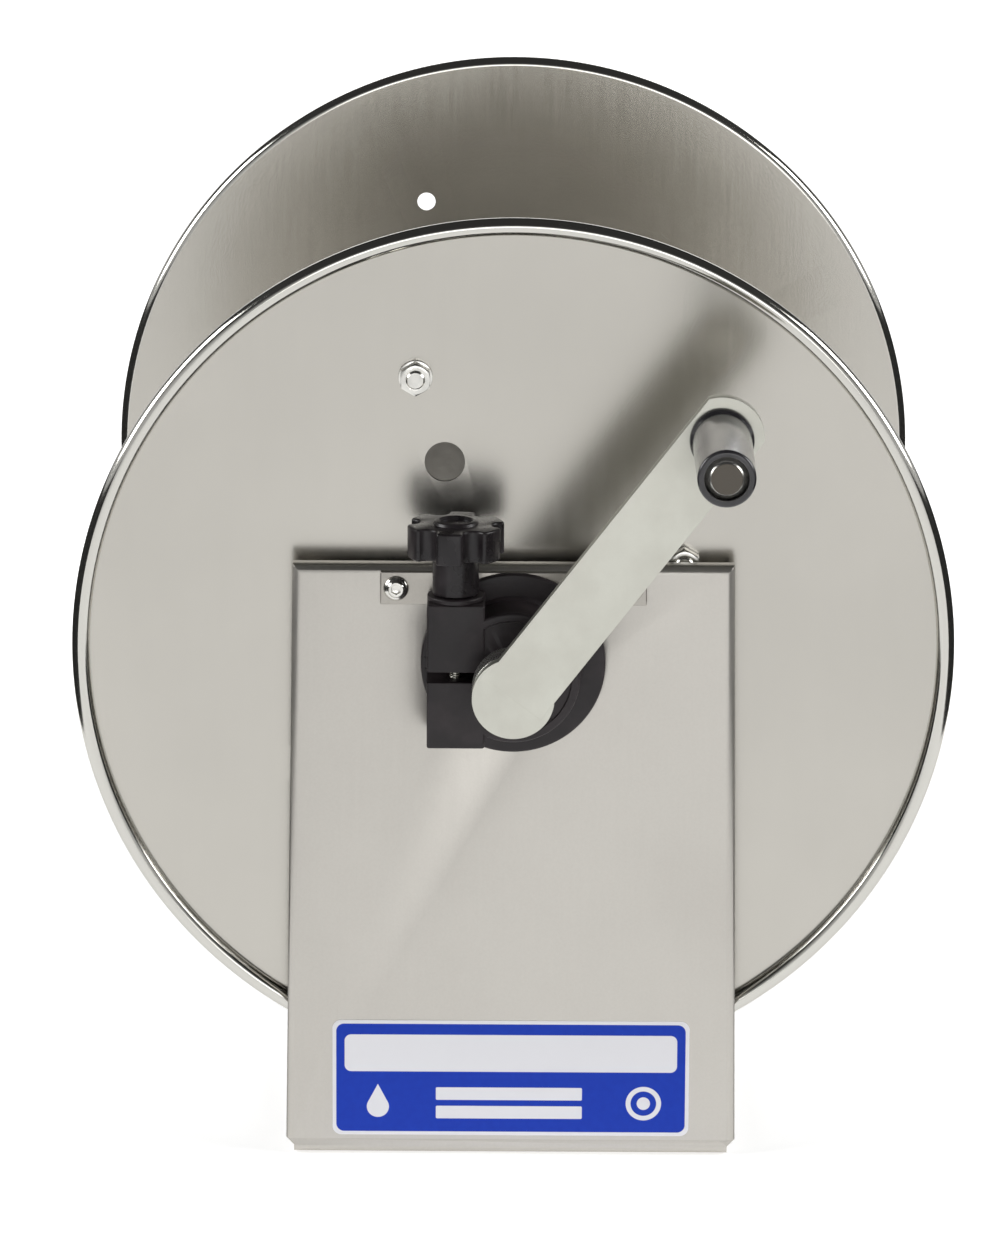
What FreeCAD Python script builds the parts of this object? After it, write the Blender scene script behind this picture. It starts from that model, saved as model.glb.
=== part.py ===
import FreeCAD, Part
import math
import os

V = FreeCAD.Vector

# A bare hand-crank hose reel. X runs across the reel, Y along the axle with the
# crank towards -Y, and Z up. The origin is the middle of the four base bolts, on
# the floor. All sizes are in millimetres.

# Overall sizes
disc_diameter = 394.0
drum_length = 386.0            # between the inner faces of the two discs
floor_clearance = 35.0         # from the floor to the rims of the discs

# Making
overrun = 1.0                  # how far a cutting tool passes the face it cuts
near = 0.01                    # edges within this of a plane lie on it

# Sheet metal
disc_sheet = 1.5
bead_radius = 4.0              # outside radius of the rolled rim
bead_curl_end = 205.0          # degrees; the curl starts at -90, on the flat of the disc
drum_radius = 102.0
drum_sheet = 1.5
hub_plate_sheet = 3.0
hub_boss_radius = 20.0
hub_boss_length = 30.0

# Frame
frame_sheet = 2.5
upright_width = 196.0
upright_rise = 43.0            # top of the upright above the axle
return_depth = 9.0             # side flanges of the uprights, outside face to edge
disc_clearance = 3.0           # between the rolled rim and the upright's flanges
foot_depth = 45.0              # flange turned in under the base pan
bend_radius = 4.0              # outside radius of the folds
base_side_height = 12.0
base_hole_radius = 5.5
base_hole_spacing_x = 152.0
base_hole_spacing_y = 368.0

# Axle and its fits
axle_radius = 9.525
running_clearance = 0.05
axle_bore_radius = 6.0
axle_collar_radius = 17.0
axle_collar_length = 8.0
swivel_clearance = 1.5         # from the rear bearing to the inlet swivel

# Bearings
bearing_flange_radius = 41.0
bearing_flange = 6.0
bearing_spigot_radius = 23.0
bearing_spigot_depth = 7.5     # from the outside face of the upright inwards
rear_boss_radius = 22.0
rear_boss_length = 6.0

# Straps that hold the bearings to the uprights
strap_length = 118.0
strap_width = 15.0
strap_sheet = 3.0
strap_rise = 33.5              # centre of the strap above the axle
strap_screw_spacing = 104.0
strap_slack = 0.2              # pocket in the bearing around the strap
screw_radius = 3.175
screw_head_radius = 5.6
screw_head_height = 3.4
screw_head_flat = 0.3          # turned off the top of the dome
screw_socket_across = 4.0
screw_socket_floor = 0.8       # above the seat of the head
screw_nut_across = 11.1
screw_nut_height = 5.5
screw_thread_end = 0.5         # past the nut

# Split clamp of the drag brake, part of the front bearing moulding
clamp_length = 24.5            # along the axle, in front of the flange
clamp_boss_radius = 29.5
clamp_outer_x = -38.0
clamp_inner_x = -12.5
clamp_top = 33.0               # above the axle
clamp_bottom = 32.5            # below the axle
clamp_slit = 5.0
jaw_fillet = 1.0
brake_axis_x = -25.5
stud_radius = 3.0
stud_length = 66.0             # below the stem of the knob
brake_nut_across = 10.0
brake_nut_height = 5.0
brake_washer_radius = 12.5
brake_washer_height = 2.2
brake_washer_gap = 0.3         # to the flange behind it

# Brake knob
knob_stem_radius = 10.2
knob_stem_height = 17.4
knob_radius = 21.5
knob_height = 14.5
knob_fillet = 1.2
knob_lobes = 6
knob_turn = -8.0               # degrees, of the knob at rest; at 0 a lobe faces -Y
knob_notch_radius = 4.6
knob_notch_centre = 20.6
knob_crown_radius = 9.5
knob_crown_height = 1.5
knob_lift = 0.3                # stem above the washer

# Crank
crank_gap = 12.0               # from the clamp to the crank collar
crank_collar_radius = 18.0
crank_collar_length = 16.0
crank_angle = 52.6             # degrees above +X at rest
crank_reach = 147.0
lever_thickness = 6.0
lever_width = 30.5
lever_end_radius = 18.5

# Grip
grip_length = 72.0
grip_root_radius = 14.0
grip_end_radius = 12.5
grip_root_length = 5.0
grip_gap = 0.3                 # between the lever and the grip
pin_radius = 6.0
pin_head_radius = 9.5
pin_head_depth = 5.0
pin_head_chamfer = 2.6
pin_nut_across = 17.0
pin_nut_height = 8.0
pin_thread_end = 1.5

# Holes and bolts in the discs
bolt_radius = 4.0
bolt_across = 13.0
bolt_head_height = 5.3
bolt_nut_height = 6.5
bolt_thread_end = 1.2
bolt_chamfer = 0.8
bolt_hole_radius = 4.5
drum_bolt_circle = 86.0
drum_bolt_angles = (28.0, 208.0, 298.0)
rim_hole_circle = 132.0
rim_hole_angle = 109.4
rim_washer_radius = 7.6
rim_washer_height = 1.2
rim_nut_height = 5.5
window_circle = 91.3
window_angle = 109.7
window_radius = 9.0
window_slack = 1.0             # notch in the hub plate around the window

# Water way from the axle to the hose
outlet_y = 140.0
outlet_bore_end = 20.0         # solid axle left beyond the outlet port
riser_radius = 10.5
riser_slack = 1.0              # hole in the drum around the riser
elbow_radius = 14.0
elbow_drop = 30.0              # length of the outlet elbow outside the drum
outlet_thread_radius = 10.4
outlet_thread_length = 18.0
outlet_neck_length = 12.0
outlet_neck_across = 24.0

# Inlet swivel on the rear end of the axle
barrel_wall = 6.0              # outside the chamber
barrel_length = 37.5
barrel_neck_length = 26.0      # running fit on the axle
chamber_slack = 0.8            # round the retaining ring, where the elbow's spigot goes in
ring_section = 2.6
ring_width = 1.2
ring_gap = 4.0                 # between the ends of the open ring
groove_depth = 0.925
ring_setback = 2.5             # from the end of the axle
ring_clearance = 0.3           # to the shoulder in the barrel
seal_section = 2.425
seal_width = 3.5
seal_first = 8.0               # from the front of the barrel
seal_pitch = 10.0
inlet_body_length = 30.0
inlet_drop = 42.0              # from the axle down to the mouth of the inlet
inlet_leg_radius = 15.0
inlet_thread_radius = 10.3
inlet_thread_length = 18.0
inlet_bore_radius = 7.0
spigot_length = 6.0

# Set screws
set_screw_radius = 3.0
set_screw_length = 6.0

# Label
label_width = 161.0
label_height = 54.5
label_bottom = 9.0
label_thickness = 0.3
label_corner = 4.0

# Places that follow from the sizes above
disc_radius = disc_diameter / 2
axle_height = disc_radius + floor_clearance               # from the floor to the axle
face_y = drum_length / 2                                  # inner face of a disc
disc_outer_y = face_y + disc_sheet
bead_y = face_y + 2 * bead_radius                         # outermost face of the rim
upright_y = bead_y + disc_clearance + return_depth        # outside face of an upright
flange_y = upright_y + bearing_flange
clamp_y = flange_y + clamp_length
brake_y = -(flange_y + brake_washer_gap + brake_washer_radius)
collar_middle = disc_outer_y + axle_collar_length / 2     # of the axle collars
collar_y = clamp_y + crank_gap                            # near face of the crank collar
crank_screw_y = -(collar_y + crank_collar_length / 2)
lever_y = collar_y + crank_collar_length
lever_front_y = lever_y + lever_thickness
grip_x = crank_reach * math.cos(math.radians(crank_angle))
grip_z = axle_height + crank_reach * math.sin(math.radians(crank_angle))
grip_y = lever_front_y + grip_gap
grip_end_y = grip_y + grip_length
barrel_y = flange_y + rear_boss_length + swivel_clearance
ring_y = barrel_y + barrel_neck_length + ring_clearance
axle_end_y = ring_y + ring_width + ring_setback
barrel_end_y = barrel_y + barrel_length
inlet_y = barrel_end_y + inlet_body_length / 2
outlet_z = axle_height - drum_radius - elbow_drop / 2
fit_radius = axle_radius + running_clearance
groove_radius = axle_radius - groove_depth
ring_radius = groove_radius + ring_section
chamber_radius = ring_radius + chamber_slack
barrel_radius = chamber_radius + barrel_wall
seal_radius = fit_radius + seal_section


def rod_y(radius, y_low, y_high, x=0.0, z=axle_height):
    """Round bar along Y."""
    return Part.makeCylinder(radius, y_high - y_low, V(x, y_low, z), V(0, 1, 0))


def rod_z(radius, z_low, z_high, x=0.0, y=0.0):
    """Round bar along Z."""
    return Part.makeCylinder(radius, z_high - z_low, V(x, y, z_low), V(0, 0, 1))


def block(x_low, x_high, y_low, y_high, z_low, z_high):
    """Rectangular block between two corners."""
    size = (x_high - x_low, y_high - y_low, z_high - z_low)
    return Part.makeBox(*size, V(x_low, y_low, z_low))


def hexagon(across, centre, along, height):
    """Hexagonal bar of a width across flats, from a centre along a direction."""
    corner = across / math.sqrt(3)
    points = [V(corner * math.cos(i * math.pi / 3), corner * math.sin(i * math.pi / 3), 0)
              for i in range(7)]
    bar = Part.Face(Part.makePolygon(points)).extrude(V(0, 0, height))
    bar.Placement = FreeCAD.Placement(centre, FreeCAD.Rotation(V(0, 0, 1), along))
    return bar


def at_angle(circle, angle):
    """X and Z of a point on a circle round the axle, seen from the crank side."""
    turn = math.radians(angle)
    return circle * math.cos(turn), axle_height + circle * math.sin(turn)


def flipped(shape):
    """The same piece at the other end of the reel."""
    return shape.mirror(V(0, 0, 0), V(0, 1, 0))


def group(solids):
    """Several separate solids in one node."""
    return Part.makeCompound(solids)


def rear_disc_blank():
    """Flat disc whose rim is rolled outwards into a bead."""
    centre_r = disc_radius - bead_radius
    centre_y = face_y + bead_radius
    inner = bead_radius - disc_sheet

    def on_curl(radius, angle):
        turn = math.radians(angle)
        return V(centre_r + radius * math.cos(turn), centre_y + radius * math.sin(turn), 0)

    middle = (bead_curl_end - 90.0) / 2
    start_out, end_out = on_curl(bead_radius, -90.0), on_curl(bead_radius, bead_curl_end)
    start_in, end_in = on_curl(inner, -90.0), on_curl(inner, bead_curl_end)
    bore_in, bore_out = V(axle_radius, face_y, 0), V(axle_radius, disc_outer_y, 0)
    outline = [
        Part.LineSegment(bore_in, start_out).toShape(),
        Part.Arc(start_out, on_curl(bead_radius, middle), end_out).toShape(),
        Part.LineSegment(end_out, end_in).toShape(),
        Part.Arc(end_in, on_curl(inner, middle), start_in).toShape(),
        Part.LineSegment(start_in, bore_out).toShape(),
        Part.LineSegment(bore_out, bore_in).toShape(),
    ]
    disc = Part.Face(Part.Wire(outline)).revolve(V(0, 0, 0), V(0, 1, 0), 360)
    return disc.translated(V(0, 0, axle_height))


def disc_holes():
    """Bars that cut a disc's bolt holes, its rim hole and its round window."""
    span = (face_y - overrun, disc_outer_y + overrun)
    places = [(bolt_hole_radius, drum_bolt_circle, angle) for angle in drum_bolt_angles]
    places += [(bolt_hole_radius, rim_hole_circle, rim_hole_angle)]
    places += [(window_radius, window_circle, window_angle)]
    return [rod_y(radius, *span, *at_angle(circle, angle)) for radius, circle, angle in places]


def disc():
    return rear_disc_blank().cut(disc_holes())


def drum():
    tube = rod_y(drum_radius, -face_y, face_y)
    tube = tube.cut(rod_y(drum_radius - drum_sheet, -face_y, face_y))
    hole = rod_z(riser_radius + riser_slack, axle_height - drum_radius - overrun,
                 axle_height - drum_radius / 2, 0, outlet_y)
    return tube.cut(hole)


def hub_plate():
    """Plate and boss welded in the rear end of the drum, and to the axle."""
    plate = rod_y(drum_radius - drum_sheet, face_y - hub_plate_sheet, face_y)
    boss_y = face_y - hub_plate_sheet - hub_boss_length
    plate = plate.fuse(rod_y(hub_boss_radius, boss_y, face_y))
    span = (boss_y - overrun, face_y + overrun)
    cuts = [rod_y(axle_radius, *span)]
    for angle in drum_bolt_angles:
        cuts.append(rod_y(bolt_hole_radius, *span, *at_angle(drum_bolt_circle, angle)))
    # The window runs into the edge of the plate, so it is cut as an open notch.
    cuts.append(rod_y(window_radius + window_slack, *span, *at_angle(window_circle, window_angle)))
    return plate.cut(cuts).removeSplitter()


def axle():
    bar = rod_y(axle_radius, -lever_y, axle_end_y)
    bore = rod_y(axle_bore_radius, outlet_y - outlet_bore_end, axle_end_y + overrun)
    port = rod_z(axle_bore_radius, axle_height - axle_radius - overrun, axle_height, 0, outlet_y)
    groove = rod_y(ring_radius, ring_y, ring_y + ring_width)
    groove = groove.cut(rod_y(groove_radius, ring_y, ring_y + ring_width))
    return bar.cut([bore, port, groove])


def snap_ring():
    ring = rod_y(ring_radius, ring_y, ring_y + ring_width)
    gap = block(-ring_gap / 2, ring_gap / 2, ring_y, ring_y + ring_width,
                axle_height, axle_height + 2 * ring_radius)
    return ring.cut([rod_y(groove_radius, ring_y, ring_y + ring_width), gap])


def set_screw_hole(collar_radius, y):
    """Bar that cuts the threaded hole for a set screw in the top of a collar."""
    return rod_z(set_screw_radius, axle_height, axle_height + collar_radius + overrun, 0, y)


def axle_collar():
    """Collar next to the rear disc, with a threaded hole for its set screw."""
    low, high = disc_outer_y, disc_outer_y + axle_collar_length
    ring = rod_y(axle_collar_radius, low, high)
    bore = rod_y(axle_radius, low - overrun, high + overrun)
    return ring.cut([bore, set_screw_hole(axle_collar_radius, collar_middle)])


def set_screw(y):
    """Headless screw that bears on the axle, with a hexagon socket."""
    foot = axle_height + axle_radius
    screw = rod_z(set_screw_radius, foot, foot + set_screw_length, 0, y)
    half = set_screw_length / 2
    socket = hexagon(set_screw_radius, V(0, y, foot + half), V(0, 0, 1), half + overrun)
    # The cup end follows the round of the axle.
    return screw.cut([socket, rod_y(axle_radius, y - set_screw_length, y + set_screw_length)])


def hex_bolt(x, z, head_y, end_y):
    """Hexagon bolt whose head bears at head_y and whose shank ends at end_y."""
    head = hexagon(bolt_across, V(x, head_y - bolt_head_height, z), V(0, 1, 0), bolt_head_height)
    shank = rod_y(bolt_radius, head_y, end_y, x, z)
    edge = [e for e in shank.Edges if abs(e.BoundBox.YMin - end_y) < near]
    return head.fuse(shank.makeChamfer(bolt_chamfer, edge))


def hex_nut(x, z, y, across, height, radius):
    nut = hexagon(across, V(x, y, z), V(0, 1, 0), height)
    return nut.cut(rod_y(radius, y - overrun, y + height + overrun, x, z))


def drum_bolts():
    end_y = disc_outer_y + bolt_nut_height + bolt_thread_end
    return group([hex_bolt(*at_angle(drum_bolt_circle, angle), face_y - hub_plate_sheet, end_y)
                  for angle in drum_bolt_angles])


def drum_nuts():
    return group([hex_nut(*at_angle(drum_bolt_circle, angle), disc_outer_y, bolt_across,
                          bolt_nut_height, bolt_radius) for angle in drum_bolt_angles])


def rim_bolt():
    """Bolt in the rim hole, drawn at the rear end of the reel."""
    end_y = disc_outer_y + rim_washer_height + rim_nut_height + bolt_thread_end
    return hex_bolt(*at_angle(rim_hole_circle, rim_hole_angle), face_y, end_y)


def rim_washer():
    x, z = at_angle(rim_hole_circle, rim_hole_angle)
    low, high = disc_outer_y, disc_outer_y + rim_washer_height
    return rod_y(rim_washer_radius, low, high, x, z).cut(rod_y(bolt_radius, low, high, x, z))


def rim_nut():
    x, z = at_angle(rim_hole_circle, rim_hole_angle)
    return hex_nut(x, z, disc_outer_y + rim_washer_height, bolt_across, rim_nut_height, bolt_radius)


def riser_pipe():
    """Pipe from the port in the axle down through the wall of the drum."""
    top, foot = axle_height, axle_height - drum_radius
    pipe = rod_z(riser_radius, foot, top, 0, outlet_y)
    bore = rod_z(axle_bore_radius, foot - overrun, top + overrun, 0, outlet_y)
    return pipe.cut([bore, rod_y(axle_radius, outlet_y - 2 * riser_radius, outlet_y + 2 * riser_radius)])


def outlet_elbow():
    """Elbow outside the drum that turns the water along the first wrap of hose."""
    low, high = axle_height - drum_radius - elbow_drop, axle_height - drum_radius
    neck_end = elbow_radius + outlet_neck_length
    thread_end = neck_end + outlet_thread_length
    body = rod_z(elbow_radius, low, high, 0, outlet_y)
    centre, along = V(0, outlet_y, outlet_z), V(-1, 0, 0)
    neck = hexagon(outlet_neck_across, centre, along, neck_end)
    thread = Part.makeCylinder(outlet_thread_radius, thread_end, centre, along)
    bore = Part.makeCylinder(axle_bore_radius, thread_end + overrun, centre, along)
    drop = rod_z(axle_bore_radius, outlet_z, high + overrun, 0, outlet_y)
    return body.fuse([neck, thread]).cut([bore, drop]).removeSplitter()


def crank_collar():
    ring = rod_y(crank_collar_radius, -lever_y, -collar_y)
    bore = rod_y(axle_radius, -lever_y - overrun, -collar_y + overrun)
    return ring.cut([bore, set_screw_hole(crank_collar_radius, crank_screw_y)])


def crank_lever():
    """Flat bar, rounded at the hub and cut to an arc round the grip."""
    low, high = -lever_front_y, -lever_y
    bar = block(0, crank_reach + lever_end_radius, low, high,
                axle_height - lever_width / 2, axle_height + lever_width / 2)
    reach = rod_y(lever_end_radius, low, high, crank_reach).fuse(
        block(0, crank_reach, low, high, axle_height - lever_width, axle_height + lever_width))
    lever = bar.common(reach).fuse(rod_y(crank_collar_radius, low, high))
    lever = lever.removeSplitter().cut(rod_y(pin_radius, low - overrun, high + overrun, crank_reach))
    lever.rotate(V(0, 0, axle_height), V(0, 1, 0), -crank_angle)
    return lever


def grip_pin():
    """Shoulder pin through the grip and the lever."""
    head_end = -grip_end_y
    head = rod_y(pin_head_radius, head_end, head_end + pin_head_depth, grip_x, grip_z)
    rim = [e for e in head.Edges if abs(e.BoundBox.YMax - head_end) < near]
    head = head.makeChamfer(pin_head_chamfer, rim)
    tail = -lever_y + pin_nut_height + pin_thread_end
    return head.fuse(rod_y(pin_radius, head_end + pin_head_depth, tail, grip_x, grip_z))


def grip_nut():
    return hex_nut(grip_x, grip_z, -lever_y, pin_nut_across, pin_nut_height, pin_radius)


def grip_sleeve():
    """Handle that turns on its pin: wide at the root, slightly tapered to the end."""
    place, along = V(grip_x, -grip_y, grip_z), V(0, -1, 0)
    root = Part.makeCylinder(grip_root_radius, grip_root_length, place, along)
    taper = Part.makeCone(grip_root_radius, grip_end_radius, grip_length - grip_root_length,
                          place + along * grip_root_length, along)
    end_y, seat_y = -grip_end_y - overrun, -grip_end_y + pin_head_depth + grip_gap
    cuts = [
        rod_y(pin_radius + running_clearance, end_y, -grip_y + overrun, grip_x, grip_z),
        rod_y(pin_head_radius + running_clearance, end_y, seat_y, grip_x, grip_z),
    ]
    return root.fuse(taper).removeSplitter().cut(cuts)


def upright():
    """Rear upright: panel, two side returns and a foot turned in under the base pan."""
    half, top = upright_width / 2, axle_height + upright_rise
    outer = block(-half, half, upright_y - return_depth, upright_y, 0, top)
    foot = block(-half, half, upright_y - foot_depth, upright_y, 0, frame_sheet + bend_radius)
    outer = outer.fuse(foot).removeSplitter()

    def is_fold(edge):
        box = edge.BoundBox
        side = box.ZLength > top / 2 and abs(box.YMin - upright_y) < near
        bottom = box.XLength > upright_width / 2 and box.ZMax < near and abs(box.YMin - upright_y) < near
        return side or bottom

    outer = outer.makeFillet(bend_radius, [e for e in outer.Edges if is_fold(e)])
    hollow = block(-half + frame_sheet, half - frame_sheet, upright_y - return_depth - overrun,
                   upright_y - frame_sheet, frame_sheet, top + overrun)
    above_foot = block(-half - overrun, half + overrun, upright_y - foot_depth - overrun,
                       upright_y - return_depth, frame_sheet, top + overrun)
    panel = (upright_y - return_depth, upright_y + overrun)
    holes = [rod_y(bearing_spigot_radius, *panel)]
    for x in (-strap_screw_spacing / 2, strap_screw_spacing / 2):
        holes.append(rod_y(screw_radius, *panel, x, axle_height + strap_rise))
    for x in (-base_hole_spacing_x / 2, base_hole_spacing_x / 2):
        holes.append(rod_z(base_hole_radius, -overrun, frame_sheet + overrun, x, base_hole_spacing_y / 2))
    return outer.cut([hollow, above_foot] + holes)


def base_pan():
    """Channel laid on the feet of the uprights, with both long edges turned up."""
    half = upright_width / 2 - frame_sheet
    end_y = upright_y - return_depth
    low = frame_sheet
    outer = block(-half, half, -end_y, end_y, low, low + base_side_height)
    folds = [e for e in outer.Edges if e.BoundBox.YLength > end_y and e.BoundBox.ZMax < low + near]
    outer = outer.makeFillet(bend_radius, folds)
    inner_half = half - frame_sheet
    hollow = block(-inner_half, inner_half, -end_y - overrun, end_y + overrun,
                   low + frame_sheet, low + 2 * base_side_height)
    holes = [rod_z(base_hole_radius, low - overrun, low + frame_sheet + overrun, x, y)
             for x in (-base_hole_spacing_x / 2, base_hole_spacing_x / 2)
             for y in (-base_hole_spacing_y / 2, base_hole_spacing_y / 2)]
    return outer.cut([hollow] + holes)


def strap():
    """Rear bearing strap, flat on the outside of the upright."""
    half, z = strap_length / 2, axle_height + strap_rise
    low, high = upright_y, upright_y + strap_sheet
    bar = block(-half, half, low, high, z - strap_width / 2, z + strap_width / 2)
    holes = [rod_y(screw_radius, low - overrun, high + overrun, x, z)
             for x in (-strap_screw_spacing / 2, strap_screw_spacing / 2)]
    return bar.cut(holes)


def strap_screws():
    """Button-head socket screws of the rear strap."""
    z, under_head = axle_height + strap_rise, upright_y + strap_sheet
    top, above = under_head + screw_head_height, under_head + 2 * screw_head_height
    shank_end = upright_y - frame_sheet - screw_nut_height - screw_thread_end
    # The head is a slice of a ball that is screw_head_radius wide at its foot.
    ball = (screw_head_radius ** 2 + screw_head_height ** 2) / (2 * screw_head_height)
    solids = []
    for x in (-strap_screw_spacing / 2, strap_screw_spacing / 2):
        dome = Part.makeSphere(ball, V(x, top - ball, z))
        dome = dome.common(rod_y(2 * screw_head_radius, under_head, above, x, z))
        flat = rod_y(2 * screw_head_radius, top - screw_head_flat, above, x, z)
        socket = hexagon(screw_socket_across, V(x, under_head + screw_socket_floor, z), V(0, 1, 0),
                         screw_head_height)
        solids.append(dome.cut([flat, socket]).fuse(rod_y(screw_radius, shank_end, under_head, x, z)))
    return group(solids)


def strap_nuts():
    z, y = axle_height + strap_rise, upright_y - frame_sheet - screw_nut_height
    return group([hex_nut(x, z, y, screw_nut_across, screw_nut_height, screw_radius)
                  for x in (-strap_screw_spacing / 2, strap_screw_spacing / 2)])


def bearing_blank():
    """Flange and spigot that both bearings share, at the rear end."""
    flange = rod_y(bearing_flange_radius, upright_y, flange_y)
    spigot = rod_y(bearing_spigot_radius, upright_y - bearing_spigot_depth, upright_y)
    z = axle_height + strap_rise
    depth, reach = strap_sheet + strap_slack, strap_width / 2 + strap_slack
    pocket = block(-strap_length, strap_length, upright_y, upright_y + depth, z - reach, z + reach)
    # The pocket is open upwards, so the strap drops into it.
    above = block(-strap_length, strap_length, upright_y, upright_y + depth, z, z + strap_width)
    return flange.cut([pocket, above]).fuse(spigot)


def rear_bearing():
    end_y = flange_y + rear_boss_length
    shape = bearing_blank().fuse(rod_y(rear_boss_radius, flange_y, end_y)).removeSplitter()
    return shape.cut(rod_y(fit_radius, upright_y - bearing_spigot_depth - overrun, end_y + overrun))


def brake_bearing():
    """Front bearing with the split clamp that brakes the axle, in one moulding."""
    shape = flipped(bearing_blank())
    boss = rod_y(clamp_boss_radius, -clamp_y, -flange_y)
    jaws = block(clamp_outer_x, clamp_inner_x, -clamp_y, -flange_y,
                 axle_height - clamp_bottom, axle_height + clamp_top)
    corner = [e for e in jaws.Edges if abs(e.BoundBox.YMax + clamp_y) < near]
    shape = shape.fuse([boss, jaws.makeFillet(jaw_fillet, corner)]).removeSplitter()
    nut_foot = V(brake_axis_x, brake_y, axle_height - clamp_bottom - overrun)
    cuts = [
        rod_y(fit_radius, -clamp_y - overrun, -upright_y + bearing_spigot_depth + overrun),
        block(clamp_outer_x - overrun, 0, -clamp_y - overrun, -flange_y,
              axle_height - clamp_slit / 2, axle_height + clamp_slit / 2),
        rod_z(stud_radius + running_clearance, 0, 2 * axle_height, brake_axis_x, brake_y),
        hexagon(brake_nut_across, nut_foot, V(0, 0, 1), brake_nut_height + overrun),
    ]
    return shape.cut(cuts)


def brake_nut():
    """Nut held in the pocket under the lower jaw."""
    foot = axle_height - clamp_bottom
    nut = hexagon(brake_nut_across, V(brake_axis_x, brake_y, foot), V(0, 0, 1), brake_nut_height)
    return nut.cut(rod_z(stud_radius + running_clearance, 0, 2 * axle_height, brake_axis_x, brake_y))


def brake_washer():
    low = axle_height + clamp_top
    ring = rod_z(brake_washer_radius, low, low + brake_washer_height, brake_axis_x, brake_y)
    return ring.cut(rod_z(stud_radius + running_clearance, 0, 2 * axle_height, brake_axis_x, brake_y))


def brake_knob():
    """Lobed knob on a round stem, with a raised crown."""
    foot = axle_height + clamp_top + brake_washer_height + knob_lift
    head = foot + knob_stem_height
    top = head + knob_height
    place = (brake_axis_x, brake_y)
    lobes = rod_z(knob_radius, head, top, *place)
    rims = [e for e in lobes.Edges if e.Length > 2 * knob_radius]
    lobes = lobes.makeFillet(knob_fillet, rims)
    notches = []
    for i in range(knob_lobes):
        turn = math.radians((i + 0.5) * 360 / knob_lobes - 90 + knob_turn)
        x = brake_axis_x + knob_notch_centre * math.cos(turn)
        y = brake_y + knob_notch_centre * math.sin(turn)
        notches.append(rod_z(knob_notch_radius, head - overrun, top + overrun, x, y))
    stem = rod_z(knob_stem_radius, foot, head, *place)
    crown = rod_z(knob_crown_radius, top, top + knob_crown_height, *place)
    knob = lobes.cut(notches).fuse([stem, crown]).removeSplitter()
    return knob.cut(rod_z(stud_radius, foot - overrun, head + knob_height / 2, *place))


def brake_stud():
    """Threaded stud moulded into the knob."""
    foot = axle_height + clamp_top + brake_washer_height + knob_lift
    top = foot + knob_stem_height + knob_height / 2
    return rod_z(stud_radius, foot - stud_length, top, brake_axis_x, brake_y)


def name_label():
    """Label at the foot of the front upright, with rounded corners."""
    half, low = label_width / 2, label_bottom
    plate = block(-half, half, -upright_y - label_thickness, -upright_y, low, low + label_height)
    corners = [e for e in plate.Edges if max(e.BoundBox.XLength, e.BoundBox.ZLength) < near]
    return plate.makeFillet(label_corner, corners)


def swivel_barrel():
    """Barrel that turns on the end of the axle, with two seal grooves."""
    body = rod_y(barrel_radius, barrel_y, barrel_end_y)
    cuts = [
        rod_y(fit_radius, barrel_y - overrun, barrel_end_y),
        rod_y(chamber_radius, barrel_y + barrel_neck_length, barrel_end_y + overrun),
    ]
    for y in seal_places():
        cuts.append(rod_y(seal_radius, y, y + seal_width))
    return body.cut(cuts)


def seal_places():
    return [barrel_y + seal_first + i * seal_pitch for i in range(2)]


def swivel_seals():
    return group([rod_y(seal_radius, y, y + seal_width).cut(rod_y(fit_radius, y, y + seal_width))
                  for y in seal_places()])


def swivel_elbow():
    """Elbow screwed into the barrel, with its threaded inlet hanging down."""
    body = rod_y(inlet_leg_radius, barrel_end_y, barrel_end_y + inlet_body_length)
    spigot = rod_y(chamber_radius, barrel_end_y - spigot_length, barrel_end_y)
    mouth = axle_height - inlet_drop
    leg = rod_z(inlet_leg_radius, mouth, axle_height, 0, inlet_y)
    cuts = [
        rod_y(inlet_bore_radius, barrel_end_y - spigot_length - overrun, inlet_y),
        rod_z(inlet_bore_radius, mouth, axle_height, 0, inlet_y),
        rod_z(inlet_thread_radius, mouth - overrun, mouth + inlet_thread_length, 0, inlet_y),
    ]
    return body.fuse([spigot, leg]).removeSplitter().cut(cuts)


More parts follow.
